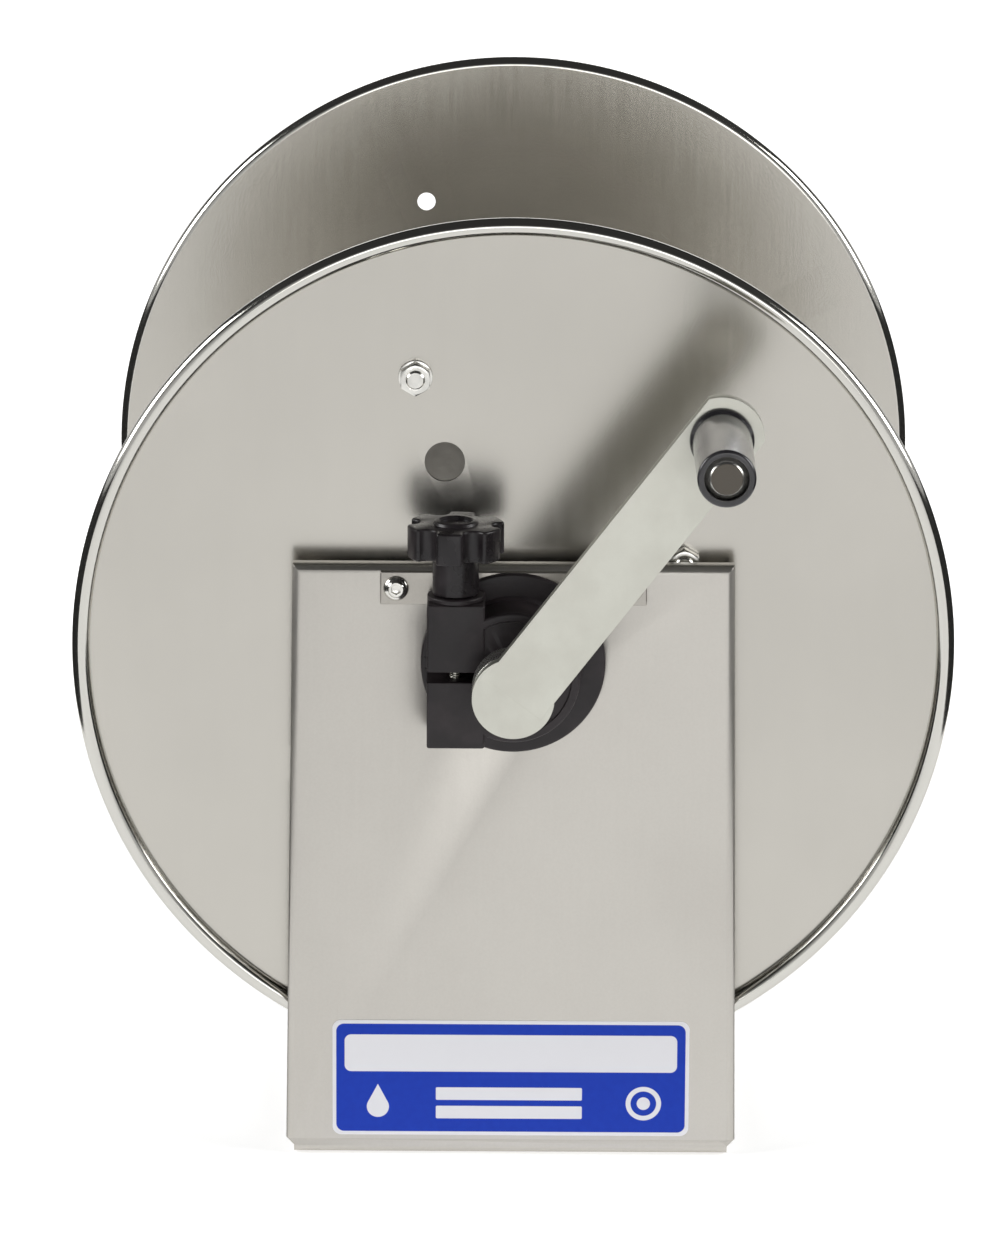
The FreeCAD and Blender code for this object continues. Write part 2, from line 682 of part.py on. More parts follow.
parts = {
    # frame
    "base_pan": base_pan(),
    "front_upright": flipped(upright()),
    "rear_upright": upright(),
    "front_strap": flipped(strap()),
    "front_strap_screws": flipped(strap_screws()),
    "front_strap_nuts": flipped(strap_nuts()),
    "rear_strap": strap(),
    "rear_strap_screws": strap_screws(),
    "rear_strap_nuts": strap_nuts(),
    "brake_bearing": brake_bearing(),
    "brake_nut": brake_nut(),
    "brake_washer": brake_washer(),
    "rear_bearing": rear_bearing(),
    "name_label": name_label(),
    # reel
    "front_disc": flipped(disc()),
    "rear_disc": disc(),
    "drum": drum(),
    "front_hub_plate": flipped(hub_plate()),
    "rear_hub_plate": hub_plate(),
    "front_drum_bolts": flipped(drum_bolts()),
    "front_drum_nuts": flipped(drum_nuts()),
    "rear_drum_bolts": drum_bolts(),
    "rear_drum_nuts": drum_nuts(),
    "rim_bolt": flipped(rim_bolt()),
    "rim_washer": flipped(rim_washer()),
    "rim_nut": flipped(rim_nut()),
    "axle": axle(),
    "axle_collars": group([axle_collar(), flipped(axle_collar())]),
    "collar_set_screws": group([set_screw(collar_middle), set_screw(-collar_middle)]),
    "snap_ring": snap_ring(),
    "riser_pipe": riser_pipe(),
    "outlet_elbow": outlet_elbow(),
    "crank_collar": crank_collar(),
    "crank_set_screw": set_screw(crank_screw_y),
    "crank_lever": crank_lever(),
    "grip_pin": grip_pin(),
    "grip_nut": grip_nut(),
    # pieces that turn on their own
    "grip_sleeve": grip_sleeve(),
    "brake_knob": brake_knob(),
    "brake_stud": brake_stud(),
    "swivel_barrel": swivel_barrel(),
    "swivel_seals": swivel_seals(),
    "swivel_elbow": swivel_elbow(),
}

os.makedirs("parts", exist_ok=True)
for name, shape in parts.items():
    if not shape.isValid():
        print("not valid:", name)
    shape.exportStep("parts/" + name + ".step")
print(len(parts), "nodes")
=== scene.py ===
from math import acos, atan2, cos, degrees, pi, radians, sin, sqrt

import bpy
from mathutils import Matrix, Vector


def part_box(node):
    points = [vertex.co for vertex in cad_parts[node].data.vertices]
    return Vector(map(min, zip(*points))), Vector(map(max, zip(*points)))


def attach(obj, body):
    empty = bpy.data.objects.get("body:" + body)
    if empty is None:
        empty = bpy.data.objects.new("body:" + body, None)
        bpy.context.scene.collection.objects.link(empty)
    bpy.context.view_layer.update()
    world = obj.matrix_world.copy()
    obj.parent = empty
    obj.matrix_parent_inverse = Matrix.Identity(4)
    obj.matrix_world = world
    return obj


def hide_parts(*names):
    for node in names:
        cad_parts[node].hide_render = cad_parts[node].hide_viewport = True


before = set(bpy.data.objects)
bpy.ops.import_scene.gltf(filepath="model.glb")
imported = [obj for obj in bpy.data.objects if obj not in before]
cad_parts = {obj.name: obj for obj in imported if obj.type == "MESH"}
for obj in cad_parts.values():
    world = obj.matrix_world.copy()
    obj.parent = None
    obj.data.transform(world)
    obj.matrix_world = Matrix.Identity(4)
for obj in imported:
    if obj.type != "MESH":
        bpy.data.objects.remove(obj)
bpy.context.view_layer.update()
bpy.ops.object.select_all(action="DESELECT")


# Uprights and base pan
# Each upright is a panel of 2.5 mm stainless sheet, with its sides folded back and
# its foot folded in under the base pan. The pan is a shallow channel of the same
# sheet, welded on top of the two feet.

class Shade:
    """One socket of a material, so that shader maths reads as plain expressions."""

    def __init__(self, tree, socket):
        self.tree = tree
        self.socket = socket

    def make(self, kind, settings=None, sockets=None, output=0):
        """Adds a node: its settings first, then the values or links of its sockets."""
        node = self.tree.nodes.new(kind)
        for name, value in (settings or {}).items():
            setattr(node, name, value)
        for name, value in (sockets or {}).items():
            if isinstance(value, Shade):
                self.tree.links.new(value.socket, node.inputs[name])
            else:
                node.inputs[name].default_value = value
        return Shade(self.tree, node.outputs[output])

    def maths(self, operation, *values):
        return self.make("ShaderNodeMath", {"operation": operation}, dict(enumerate(values)))

    def __add__(self, other):
        return self.maths("ADD", self, other)

    def __radd__(self, other):
        return self.maths("ADD", other, self)

    def __sub__(self, other):
        return self.maths("SUBTRACT", self, other)

    def __rsub__(self, other):
        return self.maths("SUBTRACT", other, self)

    def __mul__(self, other):
        return self.maths("MULTIPLY", self, other)

    def size(self):
        """The value without its sign."""
        return self.maths("ABSOLUTE", self)

    def root(self):
        return self.maths("SQRT", self)

    def at_least(self, least):
        return self.maths("MAXIMUM", self, least)

    def at_most(self, most):
        return self.maths("MINIMUM", self, most)

    def ramp(self, low, high):
        """0 below one value and 1 above the other, smooth between them."""
        return self.make("ShaderNodeMapRange", {"interpolation_type": "SMOOTHSTEP"},
                         {"Value": self, "From Min": low, "From Max": high})

    def blend(self, first, second):
        """One colour where this mask is 0 and another where it is 1."""
        return self.make("ShaderNodeMix", {"data_type": "RGBA"}, {0: self, 6: first, 7: second}, 2)

    def noise(self, scale, detail=2.0, stretch=(1.0, 1.0, 1.0)):
        """Cloudy noise of a number of features to the metre, drawn out along an axis."""
        spread = self.make("ShaderNodeMapping", None, {"Vector": self, "Scale": stretch})
        return self.make("ShaderNodeTexNoise", None,
                         {"Vector": spread, "Scale": scale, "Detail": detail})

    def bumps(self, strength, depth):
        """A normal from this height, in metres at full height."""
        return self.make("ShaderNodeBump", None,
                         {"Height": self, "Strength": strength, "Distance": depth})

    def axes(self):
        """The X, Y and Z of a vector, each as a socket of its own."""
        node = self.make("ShaderNodeSeparateXYZ", None, {"Vector": self}).socket.node
        return [Shade(self.tree, output) for output in node.outputs]


def new_finish(name):
    """An empty finish and the object coordinates that its patterns are drawn in."""
    material = bpy.data.materials.new(name)
    material.use_nodes = True
    tree = material.node_tree
    place = Shade(tree, tree.nodes.new("ShaderNodeTexCoord").outputs["Object"])
    return material, place


def set_finish(material, **sockets):
    """Gives the finish's shader its numbers, colours and links."""
    tree = material.node_tree
    shader = tree.nodes["Principled BSDF"]
    for name, value in sockets.items():
        socket = shader.inputs[name.replace("_", " ")]
        if isinstance(value, Shade):
            tree.links.new(value.socket, socket)
        else:
            socket.default_value = value


def rolled_steel(name, light, dark, roughness, grain_stretch):
    """Cold-rolled stainless: a faint mill grain one way, cloudy patches and fine speckle."""
    material, place = new_finish(name)
    grain = place.noise(420.0, 3.0, grain_stretch)
    speckle = place.noise(900.0, 1.0)
    cloud = place.noise(11.0, 3.0)
    patches = cloud.ramp(0.3, 0.7)
    colour = (patches * 0.4 + grain * 0.25 + speckle * 0.35).blend(dark, light)
    rough = roughness + (patches - 0.5) * 0.05 + (grain - 0.5) * 0.10
    height = grain * 0.6 + speckle * 0.4
    set_finish(material, Base_Color=colour, Metallic=1.0, Roughness=rough,
               Normal=height.bumps(0.25, 0.0002))
    return material


def activate(piece):
    """Makes a piece the only one selected."""
    bpy.ops.object.mode_set(mode="OBJECT")
    bpy.ops.object.select_all(action="DESELECT")
    piece.select_set(True)
    bpy.context.view_layer.objects.active = piece


def started(name, primitive, sides=(1.0, 1.0, 1.0), **place):
    """A primitive at its size and place, with its place in its mesh."""
    if bpy.context.object:
        bpy.ops.object.mode_set(mode="OBJECT")
    bpy.ops.object.select_all(action="DESELECT")
    primitive(**place)
    piece = bpy.context.object
    piece.name = piece.data.name = name
    piece.scale = sides
    bpy.ops.object.transform_apply(location=True, rotation=True, scale=True)
    return piece


def block(name, low, high):
    """A rectangular block between two corners."""
    low, high = Vector(low), Vector(high)
    return started(name, bpy.ops.mesh.primitive_cube_add, size=1.0,
                   location=(low + high) / 2, sides=high - low)


TURNS = {"X": (0.0, pi / 2, 0.0), "Y": (pi / 2, 0.0, 0.0), "Z": (0.0, 0.0, 0.0)}


def rod(name, radius, middle, length, axis, sides=64):
    """A round bar, or a hexagonal one of six sides, along a row axis."""
    return started(name, bpy.ops.mesh.primitive_cylinder_add, vertices=sides, radius=radius,
                   depth=length, location=middle, rotation=TURNS[axis])


def select_edges(piece, test):
    """Goes into edit mode and selects the edges whose two ends pass a test."""
    activate(piece)
    for edge in piece.data.edges:
        edge.select = all(test(piece.data.vertices[i].co) for i in edge.vertices)
    for vertex in piece.data.vertices:
        vertex.select = False
    for face in piece.data.polygons:
        face.select = False
    bpy.ops.object.mode_set(mode="EDIT")
    bpy.ops.mesh.select_mode(type="EDGE")


def with_modifier(piece, kind, **settings):
    """Adds a modifier and applies it."""
    activate(piece)
    modifier = piece.modifiers.new(kind.lower(), kind)
    for name, value in settings.items():
        setattr(modifier, name, value)
    bpy.ops.object.modifier_apply(modifier=modifier.name)


def combine(piece, tool, how="DIFFERENCE"):
    """Cuts a piece with a tool, or joins the tool to it, and takes the tool away."""
    with_modifier(piece, "BOOLEAN", operation=how, solver="EXACT", object=tool)
    bpy.data.objects.remove(tool)


def eased(piece, width, rounds=2, angle=40.0):
    """Breaks the sharp edges of a piece and shades its curves smooth."""
    if width:
        with_modifier(piece, "BEVEL", width=width, segments=rounds, limit_method="ANGLE",
                      angle_limit=radians(angle), harden_normals=False)
    activate(piece)
    bpy.ops.object.shade_smooth_by_angle(angle=radians(angle - 6.0))


def fitted(piece, body, slot, finish, *nodes):
    """Gives a piece its finish, its body and the CAD nodes that it stands for."""
    piece.data.materials.clear()
    piece.data.materials.append(finish)
    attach(piece, body)
    if nodes:
        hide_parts(*nodes)


sheet_finish = rolled_steel("rolled_sheet", (0.56, 0.54, 0.50, 1.0), (0.47, 0.45, 0.415, 1.0),
                            0.37, (1.0, 1.0, 0.06))
frame_sheet = 0.0025
fold_radius = 0.004
fold_rounds = 7
return_depth = 0.009
corner_relief = 0.007
edge_break = 0.00035
base_hole_radius = 0.0055
base_hole_x = 0.076
base_hole_y = 0.184
spigot_radius = 0.023
axle_z = (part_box("front_disc")[0].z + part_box("front_disc")[1].z) / 2

for end, node in ((-1, "front_upright"), (1, "rear_upright")):
    low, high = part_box(node)
    half, top = high.x, high.z
    outer_y = high.y if end > 0 else low.y
    foot_depth = high.y - low.y
    upright = started(node + "_sheet", bpy.ops.mesh.primitive_plane_add, size=1.0,
                      location=(0.0, outer_y, top / 2), rotation=(-end * pi / 2, 0.0, 0.0),
                      sides=(2 * half, top, 1.0))
    bpy.ops.object.mode_set(mode="EDIT")
    bpy.ops.mesh.select_all(action="SELECT")
    bpy.ops.mesh.bisect(plane_co=(0.0, 0.0, corner_relief), plane_no=(0.0, 0.0, 1.0))
    select_edges(upright, lambda v: abs(v.x) > half - 1e-5 and v.z > corner_relief - 1e-5)
    bpy.ops.mesh.extrude_edges_move(TRANSFORM_OT_translate={"value": (0.0, -end * return_depth, 0.0)})
    select_edges(upright, lambda v: v.z < 1e-5)
    bpy.ops.mesh.extrude_edges_move(TRANSFORM_OT_translate={"value": (0.0, -end * foot_depth, 0.0)})
    select_edges(upright, lambda v: abs(v.y - outer_y) < 1e-5 and (
        v.z < 1e-5 or (abs(v.x) > half - 1e-5 and v.z > corner_relief - 1e-5)))
    bpy.ops.mesh.bevel(offset=fold_radius, segments=fold_rounds, affect="EDGES")
    with_modifier(upright, "SOLIDIFY", thickness=frame_sheet, offset=-1.0, use_even_offset=True)
    combine(upright, rod("hole", spigot_radius, (0.0, outer_y, axle_z), 0.02, "Y"))
    for side in (-1, 1):
        place = (side * base_hole_x, end * base_hole_y, frame_sheet / 2)
        combine(upright, rod("hole", base_hole_radius, place, 0.02, "Z", 48))
    eased(upright, edge_break)
    fitted(upright, "frame", "stainless_sheet", sheet_finish, node)

pan_finish = rolled_steel("rolled_pan", (0.55, 0.53, 0.49, 1.0), (0.46, 0.44, 0.41, 1.0),
                          0.37, (1.0, 0.06, 1.0))
low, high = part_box("base_pan")
pan = started("base_pan_sheet", bpy.ops.mesh.primitive_plane_add, size=1.0,
              location=(0.0, 0.0, low.z), rotation=(pi, 0.0, 0.0),
              sides=(high.x - low.x, high.y - low.y, 1.0))
for side in (-1, 1):
    select_edges(pan, lambda v: v.x * side > high.x - 1e-5)
    bpy.ops.mesh.extrude_edges_move(TRANSFORM_OT_translate={"value": (0.0, 0.0, high.z - low.z)})
select_edges(pan, lambda v: abs(v.x) > high.x - 1e-5 and v.z < low.z + 1e-5)
bpy.ops.mesh.bevel(offset=fold_radius, segments=fold_rounds, affect="EDGES")
with_modifier(pan, "SOLIDIFY", thickness=frame_sheet, offset=-1.0, use_even_offset=True)
for x in (-base_hole_x, base_hole_x):
    for y in (-base_hole_y, base_hole_y):
        combine(pan, rod("hole", base_hole_radius, (x, y, low.z), 0.02, "Z", 48))
eased(pan, edge_break)
fitted(pan, "frame", "stainless_sheet", pan_finish, "base_pan")


# Discs
# Two flat discs of 1.5 mm stainless sheet. Each rim is rolled outwards into a
# bright bead, left just open against the disc. Both are punched alike: three bolt
# holes, a small hole near the rim and a round window between them.

def spin_outline(name, outline, centre, axis, steps=128):
    """A turned piece: a half outline of (radius, distance along) points, spun about an axis."""
    across, along = {"X": ((0, 0, 1), (1, 0, 0)), "Y": ((1, 0, 0), (0, 1, 0)),
                     "Z": ((1, 0, 0), (0, 0, 1))}[axis]
    across, along, centre = Vector(across), Vector(along), Vector(centre)
    points = [centre + across * radius + along * distance for radius, distance in outline]
    piece = started(name, bpy.ops.mesh.primitive_plane_add, size=0.001, location=points[0])
    bpy.ops.object.mode_set(mode="EDIT")
    bpy.ops.mesh.select_mode(type="VERT")
    bpy.ops.mesh.select_all(action="SELECT")
    bpy.ops.mesh.merge(type="CENTER")
    for here, there in zip(points, points[1:]):
        bpy.ops.mesh.extrude_vertices_move(TRANSFORM_OT_translate={"value": there - here})
    bpy.ops.mesh.select_all(action="SELECT")
    bpy.ops.mesh.spin(steps=steps, angle=2 * pi, center=centre, axis=along)
    bpy.ops.mesh.select_all(action="SELECT")
    bpy.ops.mesh.remove_doubles(threshold=2e-6)
    bpy.ops.mesh.normals_make_consistent(inside=False)
    bpy.ops.object.mode_set(mode="OBJECT")
    return piece


def arc(centre, radius, first, last, count):
    """Points of an arc of an outline, by their angles in degrees."""
    turns = [radians(first + (last - first) * i / count) for i in range(count + 1)]
    return [(centre[0] + radius * cos(turn), centre[1] + radius * sin(turn)) for turn in turns]


def seen_from_crank(circle, angle, y):
    """A point on a circle round the axle."""
    return Vector((circle * cos(radians(angle)), y, axle_z + circle * sin(radians(angle))))


def disc_steel():
    """Rolled sheet in the middle and a polished bead at the rim, by distance from the axle."""
    material, place = new_finish("disc_steel")
    x, y, z = place.axes()
    up = z - axle_z
    radius = (x * x + up * up).root()
    proud = (y.size() - face_y).ramp(disc_sheet + 0.0001, disc_sheet + 0.0006)
    bright = radius.ramp(disc_radius - bead_radius, disc_radius - 0.85 * bead_radius).at_least(proud)
    grain = place.noise(420.0, 3.0, (1.0, 1.0, 0.06))
    speckle = place.noise(900.0, 1.0)
    patches = place.noise(7.0, 3.0).ramp(0.3, 0.7)
    sheet = (patches * 0.4 + grain * 0.25 + speckle * 0.35).blend(
        (0.465, 0.448, 0.41, 1.0), (0.55, 0.53, 0.485, 1.0))
    colour = bright.blend(sheet, (0.60, 0.59, 0.55, 1.0))
    satin = 0.22 + (patches - 0.5) * 0.04 + (grain - 0.5) * 0.05
    roughness = satin + bright * (0.11 - satin)
    height = (grain * 0.4 + speckle * 0.6) * (1.0 - bright * 0.9)
    set_finish(material, Base_Color=colour, Metallic=1.0, Roughness=roughness,
               Normal=height.bumps(0.10, 0.0002))
    return material


low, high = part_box("rear_disc")
disc_radius = (high.x - low.x) / 2
disc_sheet = 0.0015
face_y = low.y
bead_radius = (high.y - low.y) / 2
bore_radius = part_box("axle")[1].x
disc_finish = disc_steel()
bolt_circle = 0.086
bolt_angles = (28.0, 208.0, 298.0)
bolt_hole_radius = 0.0045
rim_hole = (0.132, 109.4)
window = (0.0913, 109.7)
window_radius = 0.009
bead_centre = (disc_radius - bead_radius, bead_radius)

for end, node in ((-1, "front_disc"), (1, "rear_disc")):
    outline = [(bore_radius, 0.0)] + arc(bead_centre, bead_radius, -90.0, 205.0, 26)
    outline += arc(bead_centre, bead_radius - disc_sheet, 205.0, -90.0, 22)
    outline += [(bore_radius, disc_sheet), (bore_radius, 0.0)]
    outline = [(radius, end * (face_y + away)) for radius, away in outline]
    disc = spin_outline(node + "_sheet", outline, (0.0, 0.0, axle_z), "Y", 240)
    middle = end * (face_y + disc_sheet / 2)
    holes = [(bolt_hole_radius, bolt_circle, angle) for angle in bolt_angles]
    holes += [(bolt_hole_radius,) + rim_hole, (window_radius,) + window]
    for radius, circle, angle in holes:
        combine(disc, rod("hole", radius, seen_from_crank(circle, angle, middle), 0.006, "Y"))
    eased(disc, 0.0)
    fitted(disc, "reel", "stainless_sheet", disc_finish, node)


# Drum
# A tube rolled from 1.5 mm sheet, closed by a flat lock seam along its length, with
# a hole where the riser comes through.

drum_finish = rolled_steel("rolled_drum", (0.54, 0.52, 0.475, 1.0), (0.45, 0.43, 0.395, 1.0),
                           0.35, (1.0, 0.06, 1.0))
low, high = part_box("drum")
drum_radius, drum_end = high.x, high.y
drum_sheet = 0.0015
seam_angle = 150.0
seam_width = 0.007
seam_height = 0.0009
riser_hole_radius = 0.0115
outline = [(drum_radius, -drum_end), (drum_radius, drum_end), (drum_radius - drum_sheet, drum_end),
           (drum_radius - drum_sheet, -drum_end), (drum_radius, -drum_end)]
drum = spin_outline("drum_tube", outline, (0.0, 0.0, axle_z), "Y", 192)
riser_low, riser_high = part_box("riser_pipe")
riser_y = (riser_low.y + riser_high.y) / 2
combine(drum, rod("hole", riser_hole_radius, (0.0, riser_y, axle_z - drum_radius), 0.03, "Z"))
eased(drum, 0.0)
fitted(drum, "reel", "stainless_sheet", drum_finish, "drum")

seam = block("drum_seam", (drum_radius - 0.0008, -drum_end + 0.0005, -seam_width / 2),
             (drum_radius + seam_height, drum_end - 0.0005, seam_width / 2))
eased(seam, 0.0004)
seam.rotation_euler = (0.0, radians(-seam_angle), 0.0)
seam.location = (0.0, 0.0, axle_z)
bpy.ops.object.transform_apply(location=True, rotation=True, scale=True)
fitted(seam, "reel", "stainless_sheet", drum_finish)


# Bolts and nuts
# Stainless hexagon bolts: three at each end hold a disc to its hub plate, and one
# fills the small hole of the front disc. The nuts are on the outside of the discs.

def bright_steel(name, colour, roughness):
    """Bright stainless of fasteners and turned pieces, with fine tool marks."""
    material, place = new_finish(name)
    marks = place.noise(1800.0, 2.0)
    stain = place.noise(160.0, 2.0).ramp(0.35, 0.75)
    tone = stain.blend(colour, tuple(0.82 * part for part in colour[:3]) + (1.0,))
    set_finish(material, Base_Color=tone, Metallic=1.0, Roughness=roughness + marks * 0.10,
               Normal=marks.bumps(0.15, 0.0001))
    return material


def hexagon_nut(name, across, height, bore, middle, axis):
    """A nut with its corners turned off on both faces."""
    corner = across / sqrt(3.0)
    nut = rod(name, corner, middle, height, axis, 6)
    half, cut = height / 2, corner - across / 2
    turned = [(0.0, -half), (across / 2 - 0.0002, -half), (corner + 0.0002, -half + cut * 0.6),
              (corner + 0.0002, half - cut * 0.6), (across / 2 - 0.0002, half), (0.0, half)]
    combine(nut, spin_outline("turned_off", turned, middle, axis, 64), "INTERSECT")
    if bore:
        combine(nut, rod("bore", bore, middle, 2 * height, axis, 48))
    eased(nut, 0.0002)
    return nut


def threaded_end(name, radius, middle, low, high, axis, pitch=0.00125):
    """A stub of thread with a turned end: ridges of a pitch between two distances."""
    high += 0.0001 if high > low else -0.0001
    count = max(1, int(abs(high - low) / pitch))
    step = (high - low) / count
    outline = [(0.0, low)]
    for i in range(count):
        outline += [(radius - 0.0006, low + step * i), (radius, low + step * (i + 0.5))]
    outline += [(radius - 0.0006, high), (0.0, high)]
    piece = spin_outline(name, outline, middle, axis, 48)
    eased(piece, 0.0)
    return piece


fastener_finish = bright_steel("fastener_steel", (0.74, 0.73, 0.69, 1.0), 0.14)
nut_across = 0.013
nut_bore = 0.004
for end, where in ((-1, "front"), (1, "rear")):
    low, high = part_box(where + "_drum_nuts")
    nut_y, nut_height = (low.y + high.y) / 2, high.y - low.y
    tip_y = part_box(where + "_drum_bolts")[0 if end < 0 else 1].y
    for number, angle in enumerate(bolt_angles, 1):
        place = seen_from_crank(bolt_circle, angle, nut_y)
        nut = hexagon_nut(f"{where}_drum_nut_{number}", nut_across, nut_height, nut_bore, place, "Y")
        replaced = (where + "_drum_nuts",) if number == 1 else ()
        fitted(nut, "reel", "bright_fasteners", fastener_finish, *replaced)
        place = seen_from_crank(bolt_circle, angle, 0.0)
        stub = threaded_end(f"{where}_drum_bolt_end_{number}", nut_bore + 0.0001, place,
                            end * (face_y + disc_sheet), tip_y, "Y")
        fitted(stub, "reel", "bright_fasteners", fastener_finish)

low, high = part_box("rim_nut")
place = seen_from_crank(*rim_hole, (low.y + high.y) / 2)
nut = hexagon_nut("rim_nut_turned", nut_across, high.y - low.y, nut_bore, place, "Y")
fitted(nut, "reel", "bright_fasteners", fastener_finish, "rim_nut")
low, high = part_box("rim_washer")
washer_radius = (high.x - low.x) / 2
thickness = high.y - low.y
outline = [(nut_bore, -thickness / 2), (washer_radius, -thickness / 2), (washer_radius, thickness / 2),
           (nut_bore, thickness / 2), (nut_bore, -thickness / 2)]
place = seen_from_crank(*rim_hole, (low.y + high.y) / 2)
washer = spin_outline("rim_washer_pressed", outline, place, "Y", 64)
eased(washer, 0.0003)
fitted(washer, "reel", "bright_fasteners", fastener_finish, "rim_washer")
stub = threaded_end("rim_bolt_end", nut_bore + 0.0001, seen_from_crank(*rim_hole, 0.0),
                    -face_y - disc_sheet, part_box("rim_bolt")[0].y, "Y")
fitted(stub, "reel", "bright_fasteners", fastener_finish)


# Axle and its collars
# One 3/4 inch stainless bar through both bearings. Its rear half is bored for the
# water. A collar with a set screw stands against each disc.

turned_finish = bright_steel("turned_steel", (0.66, 0.65, 0.61, 1.0), 0.22)
low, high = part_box("axle")
chamfer = 0.0008
set_screw_radius = 0.003
water_bore = 0.006
bore_start = 0.12
groove_depth = 0.0009
ring_low, ring_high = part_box("snap_ring")
outline = [(0.0, low.y), (bore_radius - chamfer, low.y), (bore_radius, low.y + chamfer),
           (bore_radius, ring_low.y), (bore_radius - groove_depth, ring_low.y),
           (bore_radius - groove_depth, ring_high.y), (bore_radius, ring_high.y),
           (bore_radius, high.y - chamfer), (bore_radius - chamfer, high.y),
           (water_bore, high.y), (water_bore, bore_start), (0.0, bore_start)]
axle = spin_outline("axle_bar", outline, (0.0, 0.0, axle_z), "Y", 96)
eased(axle, 0.0)
fitted(axle, "reel", "turned_steel", turned_finish, "axle")

low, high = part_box("axle_collars")
collar_radius, collar_out = high.x, high.y
collar_in = face_y + disc_sheet
for end, where in ((-1, "front"), (1, "rear")):
    outline = [(bore_radius, collar_in), (collar_radius - chamfer, collar_in),
               (collar_radius, collar_in + chamfer), (collar_radius, collar_out - chamfer),
               (collar_radius - chamfer, collar_out), (bore_radius, collar_out), (bore_radius, collar_in)]
    outline = [(radius, end * along) for radius, along in outline]
    collar = spin_outline(where + "_axle_collar", outline, (0.0, 0.0, axle_z), "Y", 96)
    place = (0.0, end * (collar_in + collar_out) / 2, axle_z + collar_radius)
    combine(collar, rod("hole", set_screw_radius, place, 0.014, "Z", 32))
    eased(collar, 0.0)
    fitted(collar, "reel", "turned_steel", turned_finish, *(("axle_collars",) if end < 0 else ()))


# Outlet elbow
# The fitting that the wound hose screws on to: a cast body under the drum, with a
# hexagon neck and a 1/2 inch male thread, pointing along the first wrap.

low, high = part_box("outlet_elbow")
body_radius = (high.y - low.y) / 2
outlet_y = (high.y + low.y) / 2
outlet_z = (high.z + low.z) / 2
dome = 0.005
height = high.z - low.z
outline = [(0.0, -height / 2)] + arc((body_radius - dome, -height / 2 + dome), dome, -90.0, 0.0, 6)
outline += [(body_radius, height / 2 - 0.001), (body_radius - 0.001, height / 2), (0.0, height / 2)]
elbow = spin_outline("outlet_elbow_body", outline, (0.0, outlet_y, outlet_z), "Z", 64)
neck_across = 0.024
neck_start, neck_end = -0.013, -0.026
outlet_thread_radius = 0.0104
thread_pitch = 0.0018
neck = hexagon_nut("neck", neck_across, neck_start - neck_end, 0.0,
                   ((neck_start + neck_end) / 2, outlet_y, outlet_z), "X")
combine(elbow, neck, "UNION")
thread = threaded_end("thread", outlet_thread_radius, (0.0, outlet_y, outlet_z), neck_end + 0.001, low.x,
                      "X", thread_pitch)
combine(elbow, thread, "UNION")
combine(elbow, rod("bore", water_bore, (low.x / 2 - 0.004, outlet_y, outlet_z), -low.x + 0.008, "X"))
eased(elbow, 0.0)
fitted(elbow, "reel", "turned_steel", turned_finish, "outlet_elbow")


# Bearing straps and their screws
# A flat steel strap over the top of each bearing, held to the upright by two
# 1/4 inch button-head socket screws.

strap_finish = rolled_steel("strap_steel", (0.46, 0.44, 0.40, 1.0), (0.36, 0.34, 0.31, 1.0),
                            0.34, (0.06, 1.0, 1.0))
head_radius = 0.0056
head_height = 0.0034
socket_across = 0.004
screw_x = 0.052
head_flat = 0.0032
head_lip = 0.0003
for end, where in ((-1, "front"), (1, "rear")):
    low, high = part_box(where + "_strap")
    strap = block(where + "_strap_bar", low, high)
    eased(strap, 0.0006, 3)
    fitted(strap, "frame", "stainless_sheet", strap_finish, where + "_strap")
    strap_y = end * max(abs(low.y), abs(high.y))
    strap_z = (low.z + high.z) / 2
    for number, x in ((1, -screw_x), (2, screw_x)):
        outline = [(0.0, 0.0), (head_radius - 0.0002, 0.0), (head_radius, head_lip)]
        outline += [(head_radius * cos(radians(a)), head_lip + (head_height - head_lip) * sin(radians(a)))
                    for a in (12, 22, 32, 42, 52)]
        outline += [(head_flat, head_height), (0.0, head_height)]
        outline = [(radius, end * along) for radius, along in outline]
        screw = spin_outline(f"{where}_strap_screw_{number}", outline, (x, strap_y, strap_z), "Y", 64)
        socket = (x, strap_y + end * (head_height + 0.0008), strap_z)
        combine(screw, rod("socket", socket_across / sqrt(3.0), socket, 0.0066, "Y", 6))
        eased(screw, 0.00015, 2, 50.0)
        fitted(screw, "frame", "bright_fasteners", fastener_finish,
               *((where + "_strap_screws",) if number == 1 else ()))


# Front bearing with the brake clamp, and the rear bearing
# Black nylon mouldings. The front one carries the split clamp: a round boss on the
# axle and a jaw block to its left, slit at the height of the axle. A pocket behind
# each flange takes the strap.

def black_moulding(name, colour, roughness, coat=0.0):
    """Moulded nylon: a fine spark texture, slightly uneven gloss and dull rubbed patches."""
    material, place = new_finish(name)
    texture = place.noise(1500.0, 2.0)
    rubbed = place.noise(60.0, 3.0).ramp(0.4, 0.75)
    worn = tuple(min(1.0, 2.2 * part) for part in colour[:3]) + (1.0,)
    set_finish(material, Base_Color=rubbed.blend(colour, worn), Roughness=roughness + rubbed * 0.12,
               Specular_IOR_Level=0.35, Normal=texture.bumps(0.35, 0.00015), Coat_Weight=coat,
               Coat_Roughness=0.12)
    return material


